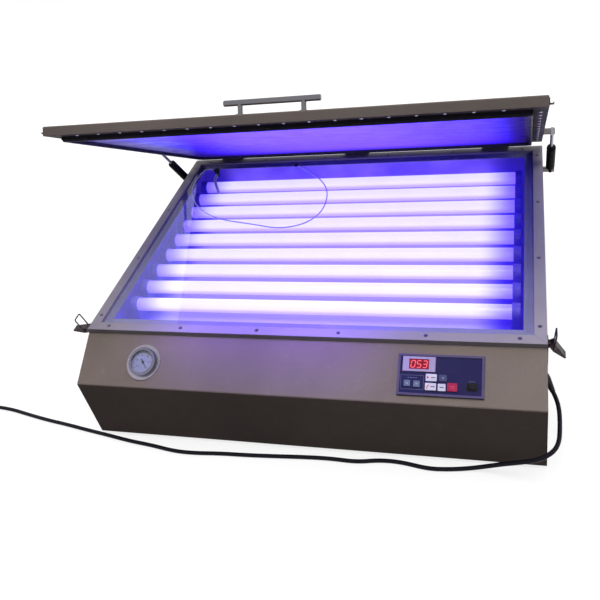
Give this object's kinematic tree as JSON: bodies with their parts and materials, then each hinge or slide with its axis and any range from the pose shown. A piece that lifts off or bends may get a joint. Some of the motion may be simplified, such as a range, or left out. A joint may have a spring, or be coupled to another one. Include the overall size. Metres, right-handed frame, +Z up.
{
  "type": "screen printing exposure unit",
  "caption": "Bench-top UV exposure unit for silk screens: tube-lit glass deck, hinged vacuum-blanket lid on gas springs, sloping console with timer panel and gauge.",
  "frame": {"origin": "middle of the object's footprint box, on the surface that its feet stand on", "axes": "+X to the right along the console, +Y to the hinges at the back, +Z up"},
  "size_m": [1.5379, 0.9263, 0.6974],
  "materials": {
    "black_metal": "black semi-gloss",
    "black_plastic": "black",
    "black_rubber": "matt black",
    "blanket_rubber": "smooth glossy vacuum blanket",
    "bleed_line": "translucent grey",
    "board_green": "green circuit board",
    "bright_metal": "brushed",
    "cabinet_paint": "warm grey fine-textured powder coat",
    "chrome_metal": "polished",
    "clear_glass": "clear float glass",
    "cord_pvc": "black flexible PVC",
    "deck_metal": "satin grey deck strip",
    "dial_white": "printed dial",
    "grey_key": "grey-blue",
    "hose_pvc": "clear PVC hose",
    "inner_steel": "plain grey inner sheet",
    "lilac_plastic": "pale lilac",
    "panel_blue": "dark blue overlay",
    "pump_paint": "dark grey casting",
    "red_key": "red",
    "reflector": "white reflector enamel",
    "socket_white": "white lampholder",
    "tube_glass": "phosphor-coated lamp glass",
    "white_plastic": "white",
    "zinc_steel": "zinc plated"
  },
  "bodies": {
    "cabinet": {"feet": "black_rubber", "base_tray": "cabinet_paint", "side_panel_left": "cabinet_paint", "side_panel_right": "cabinet_paint", "front_console": "cabinet_paint", "rear_panel": "cabinet_paint", "glass_ledge": "inner_steel", "deck_rim": "deck_metal", "deck_screws": "zinc_steel", "glass_plate": "clear_glass", "lamp_tray": "reflector", "lamp_sockets": "socket_white", "uv_tubes": "tube_glass", "tube_caps": "bright_metal", "ballasts": "white_plastic", "vacuum_port": "black_plastic", "vacuum_pump": "pump_paint", "vacuum_hose": "hose_pvc", "bleed_cord": "bleed_line", "panel_frame": "bright_metal", "panel_face": "panel_blue", "led_display": "lilac_plastic", "timer_board": "board_green", "switch_housing": "black_plastic", "gauge_case": "black_metal", "gauge_bezel": "chrome_metal", "gauge_dial": "dial_white", "gauge_lens": "clear_glass", "hinge_body_leaves": "zinc_steel", "spring_studs": "zinc_steel", "latch_plates": "zinc_steel", "cord_gland": "black_rubber", "mains_cord": "cord_pvc", "cord_coil": "cord_pvc", "mains_plug": "black_plastic"},
    "lid": {"lid_shell": "cabinet_paint", "blanket_frame": "black_metal", "vacuum_blanket": "blanket_rubber", "clamp_screws": "zinc_steel", "lid_handle": "bright_metal", "hinge_lid_leaves": "zinc_steel", "spring_brackets": "zinc_steel", "latch_keepers": "zinc_steel"},
    "spring_cylinder_left": {"spring_cylinder_left": "black_metal"},
    "spring_rod_left": {"spring_rod_left": "chrome_metal"},
    "spring_cylinder_right": {"spring_cylinder_right": "black_metal"},
    "spring_rod_right": {"spring_rod_right": "chrome_metal"},
    "latch_lever_left": {"latch_lever_left": "zinc_steel"},
    "latch_bail_left": {"latch_bail_left": "zinc_steel"},
    "latch_lever_right": {"latch_lever_right": "zinc_steel"},
    "latch_bail_right": {"latch_bail_right": "zinc_steel"},
    "key_time_up": {"key_time_up": "grey_key"},
    "key_time_down": {"key_time_down": "grey_key"},
    "key_start": {"key_start": "white_plastic"},
    "key_stop": {"key_stop": "white_plastic"},
    "key_light": {"key_light": "grey_key"},
    "key_vacuum": {"key_vacuum": "white_plastic"},
    "key_reset": {"key_reset": "red_key"},
    "power_rocker": {"power_rocker": "black_plastic"},
    "gauge_needle": {"gauge_needle": "black_metal"}
  },
  "joints": [
    {"name": "lid_hinge", "type": "hinge", "parent": "cabinet", "child": "lid", "pos_m": [0.00866, 0.41785, 0.244], "axis": [1, 0, 0], "range_deg": [0, 34.5]},
    {"name": "spring_swing_left", "type": "hinge", "parent": "cabinet", "child": "spring_cylinder_left", "pos_m": [-0.51034, 0.36785, 0.195], "axis": [1, 0, 0], "range_deg": [-0.01, 35.3]},
    {"name": "spring_slide_left", "type": "slide", "parent": "spring_cylinder_left", "child": "spring_rod_left", "axis": [0, -0.5396, 0.8419], "range_m": [-0.04177, 0.0001]},
    {"name": "spring_swing_right", "type": "hinge", "parent": "cabinet", "child": "spring_cylinder_right", "pos_m": [0.52766, 0.36785, 0.195], "axis": [1, 0, 0], "range_deg": [-0.01, 35.3]},
    {"name": "spring_slide_right", "type": "slide", "parent": "spring_cylinder_right", "child": "spring_rod_right", "axis": [0, -0.5396, 0.8419], "range_m": [-0.04177, 0.0001]},
    {"name": "latch_lever_left", "type": "hinge", "parent": "cabinet", "child": "latch_lever_left", "pos_m": [-0.49934, -0.30615, 0.226], "axis": [0, 1, 0], "range_deg": [-80, 20]},
    {"name": "latch_bail_left", "type": "hinge", "parent": "latch_lever_left", "child": "latch_bail_left", "pos_m": [-0.50722, -0.30615, 0.22461], "axis": [0, 1, 0], "range_deg": [-24.2, 96.2]},
    {"name": "latch_lever_right", "type": "hinge", "parent": "cabinet", "child": "latch_lever_right", "pos_m": [0.51666, -0.30615, 0.226], "axis": [0, -1, 0], "range_deg": [-30, 70]},
    {"name": "latch_bail_right", "type": "hinge", "parent": "latch_lever_right", "child": "latch_bail_right", "pos_m": [0.52066, -0.30615, 0.21907], "axis": [0, -1, 0], "range_deg": [-84.2, 36.2]},
    {"name": "press_time_up", "type": "slide", "parent": "cabinet", "child": "key_time_up", "axis": [0, 0.473, -0.8811], "range_m": [0, 0.0008], "stiffness_N_per_m": 600, "springref_m": -0.0004},
    {"name": "press_time_down", "type": "slide", "parent": "cabinet", "child": "key_time_down", "axis": [0, 0.473, -0.8811], "range_m": [0, 0.0008], "stiffness_N_per_m": 600, "springref_m": -0.0004},
    {"name": "press_start", "type": "slide", "parent": "cabinet", "child": "key_start", "axis": [0, 0.473, -0.8811], "range_m": [0, 0.0008], "stiffness_N_per_m": 600, "springref_m": -0.0004},
    {"name": "press_stop", "type": "slide", "parent": "cabinet", "child": "key_stop", "axis": [0, 0.473, -0.8811], "range_m": [0, 0.0008], "stiffness_N_per_m": 600, "springref_m": -0.0004},
    {"name": "press_light", "type": "slide", "parent": "cabinet", "child": "key_light", "axis": [0, 0.473, -0.8811], "range_m": [0, 0.0008], "stiffness_N_per_m": 600, "springref_m": -0.0004},
    {"name": "press_vacuum", "type": "slide", "parent": "cabinet", "child": "key_vacuum", "axis": [0, 0.473, -0.8811], "range_m": [0, 0.0008], "stiffness_N_per_m": 600, "springref_m": -0.0004},
    {"name": "press_reset", "type": "slide", "parent": "cabinet", "child": "key_reset", "axis": [0, 0.473, -0.8811], "range_m": [0, 0.0008], "stiffness_N_per_m": 600, "springref_m": -0.0004},
    {"name": "power_switch", "type": "hinge", "parent": "cabinet", "child": "power_rocker", "pos_m": [0.37096, -0.39497, 0.19078], "axis": [0, 0.8811, 0.473], "range_deg": [-18, 0]},
    {"name": "gauge_reading", "type": "hinge", "parent": "cabinet", "child": "gauge_needle", "pos_m": [-0.33634, -0.38046, 0.20287], "axis": [0, -0.473, 0.8811], "range_deg": [0, 270]}
  ],
  "couplings": [
    {"joint": "spring_swing_left", "follows": "lid_hinge", "ratio": 1.0173},
    {"joint": "spring_slide_left", "follows": "lid_hinge", "m_per_rad": -0.068865},
    {"joint": "spring_swing_right", "follows": "lid_hinge", "ratio": 1.0173},
    {"joint": "spring_slide_right", "follows": "lid_hinge", "m_per_rad": -0.068865},
    {"joint": "latch_bail_left", "follows": "latch_lever_left", "ratio": -1.2},
    {"joint": "latch_bail_right", "follows": "latch_lever_right", "ratio": -1.2}
  ]
}
